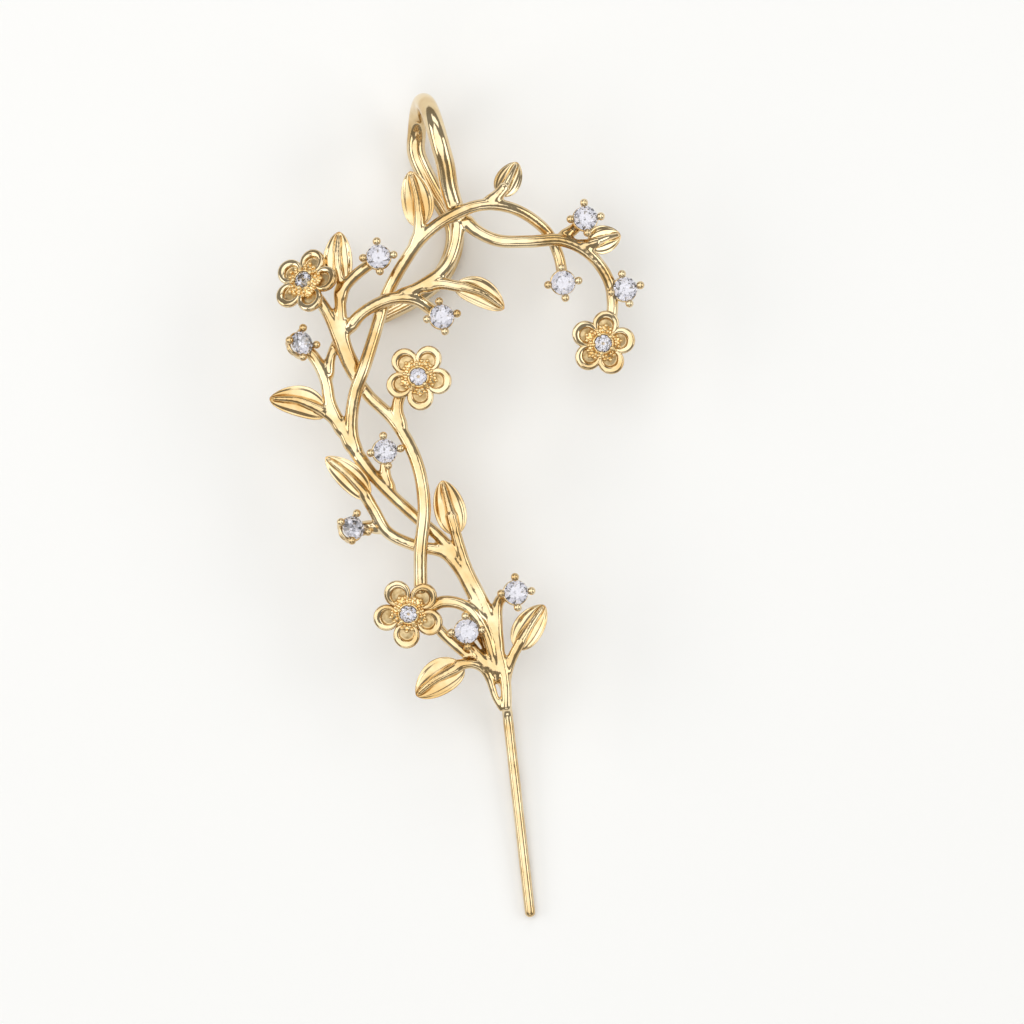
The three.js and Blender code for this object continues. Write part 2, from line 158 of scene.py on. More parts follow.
# A tree with named inputs, and the sockets of its group input.
def newTree(name, inputs):
    tree = bpy.data.node_groups.new(name, "GeometryNodeTree")
    tree.interface.new_socket("Geometry", in_out="INPUT", socket_type="NodeSocketGeometry")
    tree.interface.new_socket("Geometry", in_out="OUTPUT", socket_type="NodeSocketGeometry")
    for label, kind in inputs.items():
        tree.interface.new_socket(label, in_out="INPUT", socket_type="NodeSocket" + kind)
    return tree, addNode(tree, "NodeGroupInput").outputs


# Ends a tree: real geometry in one metal; faces marked as recess take the satin finish, if there is one.
def closeTree(tree, geometry, metal, satin=None):
    made = addNode(tree, "GeometryNodeRealizeInstances", inputs={"Geometry": geometry}).outputs[0]
    made = addNode(tree, "GeometryNodeSetMaterial", inputs={"Geometry": made, "Material": metal}).outputs[0]
    if satin:
        recess = addNode(tree, "GeometryNodeInputNamedAttribute", {"data_type": "BOOLEAN"}, {
            "Name": "recess"})
        made = addNode(tree, "GeometryNodeSetMaterial", inputs={
            "Geometry": made, "Selection": recess.outputs[0], "Material": satin}).outputs[0]
    addNode(tree, "NodeGroupOutput", inputs={0: made})


# Runs a tree on an object, with values for its named inputs, and bakes the result.
def runTree(obj, tree, values, name):
    modifier = obj.modifiers.new(tree.name, "NODES")
    modifier.node_group = tree
    for item in tree.interface.items_tree:
        if item.in_out == "INPUT" and item.name in values:
            modifier[item.identifier] = values[item.name]
    return bakedMesh(obj, name)


# Places as points that carry their turn and other values.
def seatPoints(name, places, values):
    mesh = meshFrom(name, [place.translation for place in places], [])
    turns = [tuple(place.to_euler()) for place in places]
    for key, rows in {"seatTurn": turns, **values}.items():
        isVector = isinstance(rows[0], tuple)
        layer = mesh.attributes.new(key, "FLOAT_VECTOR" if isVector else "FLOAT", "POINT")
        layer.data.foreach_set("vector" if isVector else "value", np.array(rows, float).ravel())
    return newObject(name, mesh)


# A closed skin of rings; the first and the last one are single points on the axis.
def ringedMesh(name, rings, around, pointAt):
    points = [pointAt(*rings[0], 0.0)]
    points += [pointAt(*row, fullTurn * j / around) for row in rings[1:-1] for j in range(around)]
    points.append(pointAt(*rings[-1], 0.0))
    nextOf = [(j + 1) % around for j in range(around)]
    last = 1 + (len(rings) - 3) * around
    faces = [(0, 1 + j, 1 + nextOf[j]) for j in range(around)]
    for low in range(1, last, around):
        high = low + around
        faces += [(low + j, high + j, high + nextOf[j], low + nextOf[j]) for j in range(around)]
    faces += [(last + j, last + around, last + nextOf[j]) for j in range(around)]
    return meshFrom(name, points, faces)


# A finished piece: its mesh moves from the face frame to the row frame, and the object sits at the origin.
def finishPiece(name, mesh, slot, *nodes, smooth=True):
    mesh.transform(faceToRow)
    mesh.polygons.foreach_set("use_smooth", [smooth] * len(mesh.polygons))
    mesh.update()
    piece = newObject(name, mesh)
    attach(piece, "root")
    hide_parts(*nodes)
    triangles = sum(len(p.vertices) - 2 for p in mesh.polygons)
    print(f"{name}: {triangles} triangles")


# Polished gold-plated brass: mirror-bright pale gold over a cast surface that still waves a little.
polish = {"gold": "#ECD7AF", "deepGold": "#D1AF77", "roughness": (0.07, 0.16), "toneWidth": 3.0,
          "waveWidth": 1.8, "waveDepth": 0.007, "grainWidth": 0.16, "grainDepth": 0.001}
# Satin gold in the petals' floors, which the polishing wheel doesn't reach: soft, tan and finely grained.
satin = {"gold": "#D9C294", "deepGold": "#BC9E6C", "roughness": (0.3, 0.46), "toneWidth": 0.5,
         "waveWidth": 0.4, "waveDepth": 0.016, "grainWidth": 0.11, "grainDepth": 0.008}
# Tumbled gold on the beads: warm yellow with a soft glint on each one.
tumbled = {"gold": "#F6DCA8", "deepGold": "#E6C07E", "roughness": (0.16, 0.26), "toneWidth": 0.6,
           "waveWidth": 0.4, "waveDepth": 0.004, "grainWidth": 0.1, "grainDepth": 0.001}
# Cubic zirconia: water-clear with a faint lavender cast, a high index, facets polished flat. Its tint also
# holds painted shade: grey that dims the light through the stones.
zirconia = {"tintWithPaintedShade": "#C0BFC7", "index": 2.15, "roughness": 0.0}
# The noises' detail, where the two golds lie on the tone's noise, and its span for the roughness.
goldNoise = {"detail": {"tone": 3, "wave": 1, "grain": 2}, "deepGoldAt": 0.35, "goldAt": 0.6,
             "roughAt": 0.3, "smoothAt": 0.7}


def goldMaterial(name, look):
    material = bpy.data.materials.new(name)
    material.use_nodes = True
    tree = material.node_tree
    shader = tree.nodes["Principled BSDF"]
    place = addNode(tree, "ShaderNodeTexCoord").outputs["Object"]
    noise = {}
    for key, detail in goldNoise["detail"].items():
        # Each noise repeats about once in its width, given in mm.
        noise[key] = addNode(tree, "ShaderNodeTexNoise", inputs={
            "Vector": place, "Scale": 1 / (look[key + "Width"] * mm), "Detail": detail}).outputs["Fac"]
    colour = addNode(tree, "ShaderNodeValToRGB", inputs={"Fac": noise["tone"]})
    for stop, key in zip(colour.color_ramp.elements, ("deepGold", "gold")):
        stop.position, stop.color = goldNoise[key + "At"], linearColour(look[key])
    low, high = look["roughness"]
    rough = addNode(tree, "ShaderNodeMapRange", inputs={
        "Value": noise["tone"], "From Min": goldNoise["roughAt"], "From Max": goldNoise["smoothAt"],
        "To Min": high, "To Max": low})
    waves = addNode(tree, "ShaderNodeBump", inputs={
        "Height": noise["wave"], "Distance": look["waveDepth"] * mm})
    grains = addNode(tree, "ShaderNodeBump", inputs={
        "Height": noise["grain"], "Distance": look["grainDepth"] * mm, "Normal": waves.outputs[0]})
    for key, socket in (("Base Color", colour.outputs[0]), ("Roughness", rough.outputs[0]),
                        ("Normal", grains.outputs[0])):
        tree.links.new(socket, shader.inputs[key])
    shader.inputs["Metallic"].default_value = 1.0
    return material


def zirconiaMaterial(name):
    material = bpy.data.materials.new(name)
    material.use_nodes = True
    shader = material.node_tree.nodes["Principled BSDF"]
    # The grey in the tint is painted shade that dims each stone; only the faint lavender is the stone's own
    # cast.
    for key, value in (("Base Color", linearColour(zirconia["tintWithPaintedShade"])), ("IOR", zirconia["index"]),
                       ("Roughness", zirconia["roughness"]), ("Transmission Weight", 1.0)):
        shader.inputs[key].default_value = value
    return material


polishedGold = goldMaterial("polished gold-plated brass", polish)
satinGold = goldMaterial("satin gold-plated brass", satin)
tumbledGold = goldMaterial("tumbled gold-plated brass", tumbled)
clearZirconia = zirconiaMaterial("cubic zirconia")

# The camera looks straight at the face: aim, frame width, lens and sensor in mm, floor and clip in metres.
# The room light falls on the part, and the pale light is what the camera sees past the floor.
studio = {"aim": (4.85, -0.68), "frameWidth": 87.0, "lens": 200.0, "sensor": 36.0, "floorSize": 1.12,
          "clip": (0.01, 20.0), "floorColour": "#FDFDFB", "floorRoughness": 0.9, "skyColour": "#F4F3F1",
          "roomLight": 0.29, "paleLight": 1.04}
# Softboxes: place in the row frame and size, in metres, and the power in watts.
softboxes = {
    "overhead softbox": {"at": (-0.10, 0.08, 0.62), "size": (0.84, 0.80), "power": 2.8},
    "left softbox": {"at": (-0.50, 0.02, 0.26), "size": (0.50, 0.20), "power": 0.66},
    "right softbox": {"at": (0.48, 0.05, 0.30), "size": (0.50, 0.24), "power": 0.72},
    "far softbox": {"at": (0.06, 0.52, 0.30), "size": (0.46, 0.16), "power": 0.34},
    "near softbox": {"at": (0.02, -0.46, 0.36), "size": (0.46, 0.16), "power": 0.3},
}


def setStage():
    scene = bpy.context.scene
    scene.view_settings.view_transform = "Standard"
    distance = studio["frameWidth"] * studio["lens"] / studio["sensor"]
    lens = bpy.data.cameras.new("camera")
    lens.lens, lens.sensor_width = studio["lens"], studio["sensor"]
    lens.clip_start, lens.clip_end = studio["clip"]
    camera = newObject("camera", lens)
    turn = faceToRow.to_quaternion()
    eye = Matrix.Translation(faceToRow @ Vector((*studio["aim"], distance)))
    camera.matrix_world = eye @ turn.to_matrix().to_4x4()
    scene.camera = camera
    for name, box in softboxes.items():
        light = bpy.data.lights.new(name, "AREA")
        light.shape, light.energy = "RECTANGLE", box["power"]
        light.size, light.size_y = box["size"]
        lamp = newObject(name, light)
        lamp.location = box["at"]
        lamp.rotation_mode = "QUATERNION"
        lamp.rotation_quaternion = Vector(box["at"]).to_track_quat("Z", "Y")
    half = studio["floorSize"] / 2
    corners = [(-half, -half, 0), (half, -half, 0), (half, half, 0), (-half, half, 0)]
    floor = newObject("floor", meshFrom("floor", corners, [(0, 1, 2, 3)]))
    # Matt pale card: an even ground that takes soft shadows and shows no gloss.
    paint = bpy.data.materials.new("matt pale card")
    paint.use_nodes = True
    shader = paint.node_tree.nodes["Principled BSDF"]
    shader.inputs["Base Color"].default_value = linearColour(studio["floorColour"])
    shader.inputs["Roughness"].default_value = studio["floorRoughness"]
    floor.data.materials.append(paint)
    world = bpy.data.worlds.new("studio room")
    world.use_nodes = True
    scene.world = world
    tree = world.node_tree
    seen = addNode(tree, "ShaderNodeLightPath").outputs["Is Camera Ray"]
    strength = addNode(tree, "ShaderNodeMapRange", inputs={
        "Value": seen, "To Min": studio["roomLight"], "To Max": studio["paleLight"]})
    back = tree.nodes["Background"]
    back.inputs["Color"].default_value = linearColour(studio["skyColour"])
    tree.links.new(strength.outputs[0], back.inputs["Strength"])


setStage()
print("stage set")

# Stems: radius at the start and end, then the route as (x, y, lift), in mm.
stems = {
    "left vine": ((0.58, 0.46), [
        (-8.2, 3.6, -0.2), (-8.8, 6.2, 0.1), (-8.5, 9.3, 0.5), (-7.7, 11.6, 0.5), (-6.9, 14.2, 0.0),
        (-5.8, 17.8, -0.5), (-4.6, 20.1, -0.2), (-2.8, 22.6, 0.2), (-0.4, 24.4, 0.7), (2.5, 25.4, 0.6),
        (5.2, 25.0, 0.2), (7.8, 23.2, -0.6), (8.8, 21.2, -0.8), (9.2, 19.2, -0.8)]),
    "front vine": ((0.58, 0.5), [
        (-2.9, -7.6, 0.3), (-2.9, -3.9, 0.7), (-2.6, -0.1, 0.7), (-3.3, 3.7, 0.3), (-5.1, 7.0, -0.1),
        (-7.5, 9.4, -0.5), (-9.1, 11.9, -0.4), (-9.9, 14.0, -0.1), (-10.8, 16.2, 0.1), (-12.4, 18.5, 0.25)]),
    "twin twig": ((0.48, 0.48), [
        (-8.2, 10.9, -0.5), (-9.3, 13.6, -0.2), (-9.7, 16.2, 0.0), (-9.8, 18.9, 0.1)]),
    "stone twig A": ((0.47, 0.47), [
        (-9.8, 16.6, 0.0), (-9.5, 18.2, 0.1), (-8.4, 19.5, 0.0), (-6.7, 20.8, -0.5)]),
    "cross vine": ((0.51, 0.52), [
        (-9.3, 14.5, -0.1), (-7.9, 16.2, 0.3), (-5.5, 17.4, 0.6), (-3.5, 17.4, 0.3), (-1.4, 16.1, -0.55)]),
    "hook vine": ((0.58, 0.5), [
        (0.2, 24.7, -0.3), (0.1, 22.3, -0.1), (-0.8, 20.1, 0.0), (-2.9, 18.5, 0.2), (-5.3, 17.4, 0.4)]),
    "leaf twig 3": ((0.48, 0.46), [(-3.1, 18.2, 0.2), (-1.3, 18.7, 0.3), (0.6, 18.4, 0.3)]),
    "right vine": ((0.55, 0.47), [
        (0.5, 24.7, -0.4), (1.6, 23.4, -0.1), (3.6, 22.4, 0.2), (6.4, 22.3, 0.4), (9.1, 22.4, 0.3),
        (11.4, 21.3, 0.2), (13.1, 19.0, 0.0), (13.4, 16.5, -0.2), (12.9, 14.2, -0.1)]),
    "stone twig H": ((0.47, 0.47), [(8.6, 22.4, 0.2), (10.0, 23.3, -0.2), (11.0, 24.3, -0.85)]),
    "leaf twig 10": ((0.46, 0.48), [(9.9, 22.2, 0.2), (11.0, 22.0, 0.2), (12.2, 22.3, 0.2)]),
    "leaf twig 9": ((0.48, 0.48), [(2.3, 25.5, 0.5), (3.4, 26.0, 0.5), (4.3, 27.0, 0.3)]),
    "leaf twig 1": ((0.5, 0.5), [(-3.8, 21.4, -0.1), (-3.1, 22.8, 0.2), (-3.0, 24.4, 0.3)]),
    "stone twig B": ((0.5, 0.56), [
        (-13.2, 13.6, -0.6), (-12.0, 12.5, -0.3), (-11.0, 10.5, 0.0), (-10.6, 8.5, 0.1), (-9.4, 6.1, 0.0),
        (-8.5, 4.2, -0.1)]),
    "short twig": ((0.36, 0.45), [(-10.0, 14.1, -0.8), (-10.6, 12.4, -0.5), (-10.8, 10.3, 0.0)]),
    "leaf twig 4": ((0.48, 0.5), [(-11.9, 8.2, 0.2), (-10.5, 7.4, 0.1), (-9.2, 5.5, 0.0)]),
    "inner vine": ((0.54, 0.5), [
        (-8.7, 4.8, -0.1), (-7.1, 2.6, -0.1), (-5.1, 0.5, -0.2), (-3.1, -1.3, -0.5), (-1.3, -2.8, -0.4),
        (0.4, -4.8, 0.0)]),
    "stone twig D": ((0.45, 0.45), [(-5.9, 4.2, -0.4), (-5.9, 2.4, -0.3), (-5.2, 0.7, -0.2)]),
    "outer vine": ((0.52, 0.5), [
        (-7.8, 1.0, 0.3), (-6.9, -0.5, 0.1), (-5.7, -2.4, 0.0), (-3.5, -3.5, -0.4), (-1.0, -4.1, -0.3),
        (0.2, -5.3, 0.0), (1.6, -7.9, 0.0), (2.8, -10.4, 0.0)]),
    "stone twig E": ((0.48, 0.5), [(-8.5, -2.1, -0.95), (-7.2, -1.9, -0.45), (-5.9, -2.3, 0.0)]),
    "low vine": ((0.46, 0.45), [
        (-0.35, -0.8, 0.3), (0.1, -2.6, 0.2), (1.05, -5.5, 0.0), (2.75, -9.0, 0.0), (3.9, -13.1, 0.1),
        (4.32, -15.4, 0.25), (4.38, -17.2, 0.15)]),
    "flower arc": ((0.54, 0.36), [
        (-2.6, -9.1, 0.0), (-1.0, -8.3, 0.3), (0.9, -8.7, 0.4), (2.4, -10.5, 0.3), (3.3, -13.2, 0.2),
        (4.1, -15.2, -0.1), (4.4, -16.6, -0.4)]),
    "stone arc F": ((0.38, 0.4), [(1.4, -10.3, -0.7), (2.5, -11.8, -0.4), (3.5, -14.2, -0.1)]),
    "stone twig G": ((0.45, 0.45), [
        (5.2, -7.5, -0.85), (3.8, -8.2, -0.35), (3.6, -10.2, 0.1), (3.9, -13.2, 0.0)]),
    "flower stem 4": ((0.48, 0.4), [
        (-2.2, -9.7, -0.2), (-0.6, -11.4, -0.3), (1.5, -13.2, -0.2), (2.9, -14.2, -0.1), (3.9, -15.0, -0.3),
        (4.4, -16.2, -0.5)]),
    "stone twig F": ((0.42, 0.34), [
        (1.0, -11.6, -0.5), (2.2, -13.0, 0.1), (3.55, -14.4, 0.0), (4.4, -16.0, -0.4)]),
    "leaf twig 8": ((0.46, 0.2), [
        (0.0, -13.7, 0.3), (1.5, -13.55, 0.3), (2.4, -14.0, 0.2), (2.9, -14.8, 0.1), (3.16, -15.6, 0.05),
        (3.42, -16.4, 0.05), (3.98, -17.45, 0.05)]),
    "leaf twig 7": ((0.46, 0.34), [
        (5.7, -11.5, 0.3), (4.9, -13.0, 0.1), (4.45, -14.6, 0.0), (4.4, -16.2, -0.4)]),
    "flower stem 2": ((0.5, 0.48), [(-4.4, 9.9, -0.2), (-4.9, 8.2, 0.0), (-4.3, 5.9, 0.0)]),
}

# The hook goes over the ear's rim, and the pin through the lobe and down behind it. Sizes are in mm.
hook = {"radius": 0.8, "root": [(0.2, 24.4, -0.3), (-0.5, 26.9, 0.1), (-0.8, 28.8, 0.6)], "legX": -1.2,
        "legTop": 30.3, "frontLift": 0.9, "bendRadius": 4.05, "sideShift": 2.2, "bendSteps": 8,
        "backLeg": [(-2.1, 27.4, -7.3), (-0.1, 23.6, -7.5), (-0.9, 20.2, -7.2), (-3.2, 18.0, -7.15),
                    (-6.2, 16.4, -7.5)]}
pin = {"radius": 0.43, "start": (4.35, -16.9), "depth": 5.4, "bendRadius": 1.6, "bendSteps": 4,
       "slant": 0.1, "end": (6.4, -35.1)}

# Leaves: where the blade starts and ends, its width, how far the midrib swings left, the lift, and the
# angle by which the tip dips.
leaves = [
    {"base": (-3.0, 23.5), "tip": (-3.8, 28.3), "width": 2.8, "swing": -0.2, "lift": 0.35, "dip": 8},
    {"base": (-9.7, 18.7), "tip": (-9.9, 23.2), "width": 2.55, "swing": 0.2, "lift": 0.0, "dip": 8},
    {"base": (0.0, 18.6), "tip": (4.2, 16.6), "width": 2.45, "swing": 0.4, "lift": 0.3, "dip": 6},
    {"base": (-10.9, 7.7), "tip": (-15.8, 9.0), "width": 2.7, "swing": -0.45, "lift": 0.3, "dip": 6},
    {"base": (-7.3, 0.5), "tip": (-11.0, 4.0), "width": 2.35, "swing": -0.2, "lift": 0.4, "dip": 6},
    {"base": (0.15, -2.6), "tip": (-1.1, 2.0), "width": 2.75, "swing": 0.0, "lift": 0.3, "dip": 8},
    {"base": (5.25, -12.3), "tip": (7.6, -8.6), "width": 2.65, "swing": 0.1, "lift": 0.3, "dip": 14},
    {"base": (0.7, -13.7), "tip": (-3.3, -16.3), "width": 3.1, "swing": -0.25, "lift": 0.3, "dip": 10},
    {"base": (3.9, 26.2), "tip": (5.3, 29.1), "width": 2.3, "swing": 0.0, "lift": 0.4, "dip": 24},
    {"base": (11.4, 22.0), "tip": (14.1, 23.0), "width": 2.5, "swing": 0.1, "lift": 0.3, "dip": 24},
]

# The cast metal: tubes are joined into one skin, whose joints are then softened as in a casting.
cast = {"step": 0.14, "spanSamples": 24, "leastSteps": 4, "sides": 20, "voxel": 0.1, "softening": 12,
        "softenFactor": 0.5, "thinnest": 0.25, "endRadius": 0.05, "endRoundness": 1e-4, "keepShare": 0.5,
        "leastPoints": 100, "joinReach": 0.7, "flare": 0.18, "flareAt": 0.8, "flareLength": 0.8,
        "endShrink": 0.4, "endSink": 0.3, "endLength": 0.6, "footTop": -12.8,
        "footEnds": ("low vine", "leaf twig 8")}
# A leaf's midrib: radius at its ends as shares of the leaf's width, how far it starts before the base, its
# lift, and marks along it as shares of the leaf's length, of its swing and of the lift.
rib = {"radii": (0.17, 0.06), "rootLength": 0.5, "lift": 0.2,
       "marks": [(0.25, 0.7, 1.0), (0.55, 1.0, 1.0), (0.92, 0.2, 0.3)]}


# An even walk along a smooth curve through the points (centripetal Catmull-Rom).
def smoothPath(points, step):
    known = np.array([tuple(p) for p in points], float)
    known = np.vstack([2 * known[0] - known[1], known, 2 * known[-1] - known[-2]])
    share = np.linspace(0, 1, cast["spanSamples"], endpoint=False)[:, None]
    walked = []
    for before, start, end, after in zip(known, known[1:], known[2:], known[3:]):
        chords = (start - before, end - start, after - end)
        first, middle, last = (np.linalg.norm(chord) ** 0.5 for chord in chords)
        leave = (chords[0] / first - (end - before) / (first + middle) + chords[1] / middle) * middle
        arrive = (chords[1] / middle - (after - start) / (middle + last) + chords[2] / last) * middle
        walked.append(start + leave * share + (3 * chords[1] - 2 * leave - arrive) * share ** 2
                      + (leave + arrive - 2 * chords[1]) * share ** 3)
    walked = np.vstack(walked + [known[-2]])
    along = walkedLength(walked)
    even = np.linspace(0, along[-1], max(cast["leastSteps"], round(along[-1] / step) + 1))
    return np.stack([np.interp(even, along, walked[:, axis]) for axis in range(3)], axis=1)


# How far along the path each of its points is.
def walkedLength(path):
    return np.concatenate([[0], np.cumsum(np.linalg.norm(np.diff(path, axis=0), axis=1))])


# Radii along a path: even taper, with a ball at an end that is free.
def taperedRadii(path, radii, ballEnd):
    along = walkedLength(path)
    radius = radii[0] + (radii[1] - radii[0]) * along / along[-1]
    if ballEnd:
        left = np.clip((along[-1] - along) / radii[1], 0, 1)
        radius = radius * np.sqrt(np.clip(1 - (1 - left) ** 2, cast["endRoundness"], 1))
    return radius


# The smooth path and, past its end, a straight length for the end's ball.
def extendedPath(points, length, step):
    path = smoothPath(points, step)
    heading = path[-1] - path[-2]
    heading /= np.linalg.norm(heading)
    more = np.arange(step, length, step)[:, None]
    return np.vstack([path, path[-1] + heading * more, path[-1] + heading * length])


# Up the root, over a half circle that shifts sideways as it turns, and down the back leg.
def hookPath():
    points = [Vector(point) for point in hook["root"]]
    for i in range(hook["bendSteps"] + 1):
        angle = math.pi * i / hook["bendSteps"]
        points.append(Vector((hook["legX"] - hook["sideShift"] * math.sin(angle / 2),
                              hook["legTop"] + hook["bendRadius"] * math.sin(angle),
                              hook["frontLift"] - hook["bendRadius"] * (1 - math.cos(angle)))))
    return points + [Vector(point) for point in hook["backLeg"]]


# Back from the foot, round a quarter bend and straight on to the pin's end.
def pinPath():
    x, y = pin["start"]
    depth, bend = pin["depth"], pin["bendRadius"]
    points = [facePoint(x, y, 0), facePoint(x, y, -0.5 * (depth - bend))]
    for i in range(pin["bendSteps"] + 1):
        angle = 0.5 * math.pi * i / pin["bendSteps"]
        drop = bend * (1 - math.cos(angle))
        points.append(facePoint(x + pin["slant"] * drop, y - drop, bend * (1 - math.sin(angle)) - depth))
    return points + [facePoint(*pin["end"], -depth)]


# Where a blade sits: at its base, turned along its run, with its tip dipped.
def leafMatrix(leaf):
    run = Vector(leaf["tip"]) - Vector(leaf["base"])
    turn = Matrix.Rotation(math.atan2(run.y, run.x), 4, "Z")
    place = Matrix.Translation(facePoint(*leaf["base"], leaf["lift"]))
    return place @ turn @ Matrix.Rotation(math.radians(leaf["dip"]), 4, "Y")


def leafLength(leaf):
    return math.dist(leaf["tip"], leaf["base"]) / math.cos(math.radians(leaf["dip"]))


def ribPath(leaf):
    length, place = leafLength(leaf), leafMatrix(leaf)
    marks = [(-rib["rootLength"], 0, 0)]
    marks += [(along * length, swing * leaf["swing"], rise * rib["lift"])
              for along, swing, rise in rib["marks"]]
    return [place @ Vector(mark) for mark in marks]


tubeTree, tubeInputs = newTree("wire along a route", {"Sides": "Int", "Metal": "Material"})
ring = addNode(tubeTree, "GeometryNodeCurvePrimitiveCircle", inputs={
    "Resolution": tubeInputs["Sides"], "Radius": 1.0})
radiusHere = addNode(tubeTree, "GeometryNodeInputRadius").outputs[0]
tubes = addNode(tubeTree, "GeometryNodeCurveToMesh", inputs={
    "Curve": tubeInputs["Geometry"], "Profile Curve": ring.outputs["Curve"], "Scale": radiusHere,
    "Fill Caps": True})
closeTree(tubeTree, tubes.outputs[0], tubeInputs["Metal"])


# Round tubes along paths, each with a radius at every point.
def tubeMesh(name, runs, sides):
    lines = bpy.data.curves.new(name, "CURVE")
    lines.dimensions = "3D"
    for path, radius in runs:
        spline = lines.splines.new("POLY")
        spline.points.add(len(path) - 1)
        spline.points.foreach_set("co", np.column_stack([path, np.ones(len(path))]).ravel())
        spline.points.foreach_set("radius", radius)
    return runTree(newObject(name, lines), tubeTree, {"Sides": sides, "Metal": polishedGold}, name)


# Softening draws a thin rod in, so each radius starts larger by what it will lose.
def beforeSoftening(radius):
    loss = cast["softenFactor"] * cast["softening"] * cast["voxel"] ** 2 / 4
    return radius + loss / np.maximum(radius, cast["thinnest"]) * (radius > cast["endRadius"])


# Specks that the skin leaves inside a joint are islands of only a few points.
speckTree, speckInputs = newTree("no specks", {"Least Points": "Int", "Metal": "Material"})
island = addNode(speckTree, "GeometryNodeInputMeshIsland").outputs["Island Index"]
islandPoints = addNode(speckTree, "GeometryNodeAccumulateField", {"data_type": "INT", "domain": "POINT"}, {
    "Value": 1, "Group ID": island}).outputs["Total"]
isSpeck = addNode(speckTree, "FunctionNodeCompare", {"data_type": "INT", "operation": "LESS_THAN"}, {
    2: islandPoints, 3: speckInputs["Least Points"]})
withoutSpecks = addNode(speckTree, "GeometryNodeDeleteGeometry", {"domain": "POINT"}, {
    "Geometry": speckInputs["Geometry"], "Selection": isSpeck.outputs[0]})
closeTree(speckTree, withoutSpecks.outputs[0], speckInputs["Metal"])


def castMesh(name, rough):
    block = newObject(name, rough)
    remesh = block.modifiers.new("one skin", "REMESH")
    remesh.mode, remesh.voxel_size = "VOXEL", cast["voxel"]
    soften = block.modifiers.new("soft joints", "SMOOTH")
    soften.factor, soften.iterations = cast["softenFactor"], cast["softening"]
    thin = block.modifiers.new("fewer faces", "DECIMATE")
    thin.ratio = cast["keepShare"]
    return runTree(block, speckTree, {"Least Points": cast["leastPoints"], "Metal": polishedGold}, name)


# An end that lies inside another stem is drawn in and sunk, so only the joint shows.
def hiddenEnd(path, radius, away):
    hidden = np.exp(-(away / cast["endLength"]) ** 2)
    return path - np.outer(hidden, (0, 0, cast["endSink"])), radius * (1 - cast["endShrink"] * hidden)


# A stem swells a little where it grows out of another one, but not in the foot, where they run together.
def joinedRun(path, radius, others, endIsFree):
    along = walkedLength(path)
    tips = [(path[0], along)] if endIsFree else [(path[0], along), (path[-1], along[-1] - along)]
    for tip, away in tips:
        nearest = min(np.linalg.norm(other - tip, axis=1).min() for other in others)
        if nearest < cast["joinReach"]:
            flare = cast["flare"] if tip[1] > cast["footTop"] else 0
            swell = flare * np.exp(-((away - cast["flareAt"]) / cast["flareLength"]) ** 2)
            path, radius = hiddenEnd(path, radius * (1 + swell), away)
    return path, radius


# All the cast metal's runs: the stems, hook, pin and midribs, each a path and its radii.
def vineRuns():
    runs = []
    routes = {name: smoothPath([facePoint(*point) for point in route], cast["step"])
              for name, (radii, route) in stems.items()}
    for name, (radii, route) in stems.items():
        points = [facePoint(*point) for point in route]
        isFoot = name in cast["footEnds"]
        path = extendedPath(points, radii[1], cast["step"]) if isFoot else routes[name]
        others = [routes[other] for other in routes if other != name]
        runs.append(joinedRun(path, taperedRadii(path, radii, isFoot), others, isFoot))
    for points, radius in ((hookPath(), hook["radius"]), (pinPath(), pin["radius"])):
        path = extendedPath(points, radius, cast["step"])
        runs.append((path, taperedRadii(path, (radius, radius), True)))
    for leaf in leaves:
        radii = [share * leaf["width"] for share in rib["radii"]]
        path = extendedPath(ribPath(leaf), radii[1], cast["step"])
        runs.append(hiddenEnd(path, taperedRadii(path, radii, True), walkedLength(path)))
    return [(path, beforeSoftening(radius)) for path, radius in runs]


vine = castMesh("cast_vine", tubeMesh("cast_vine", vineRuns(), cast["sides"]))
finishPiece("cast_vine", vine, "gold", "gold_vine")

# A blade one unit long and one unit wide on each side of its midrib. Each half has a channel beside the
# midrib, a full belly and a narrow raised rim. The section runs from the midrib to the edge and back
# under it: share of the way to the edge, height in mm.
blade = {"stations": 30, "bellyPower": 0.86, "tipPower": 0.62, "swingPower": 0.9, "crown": 0.27,
         "crownPower": 0.7, "crownSink": 0.4, "tipHeight": 0.55, "tipRise": 2.2, "endGap": 0.35,
         "subdivision": 1, "section": [
             (0.0, -0.02), (0.1, -0.08), (0.2, -0.11), (0.31, -0.07), (0.43, 0.0), (0.55, 0.045),
             (0.67, 0.05), (0.78, 0.02), (0.86, 0.0), (0.92, 0.045), (0.965, 0.06), (0.99, 0.02),
             (1.0, -0.05), (0.97, -0.16), (0.88, -0.25), (0.7, -0.32), (0.4, -0.38), (0.0, -0.4)]}


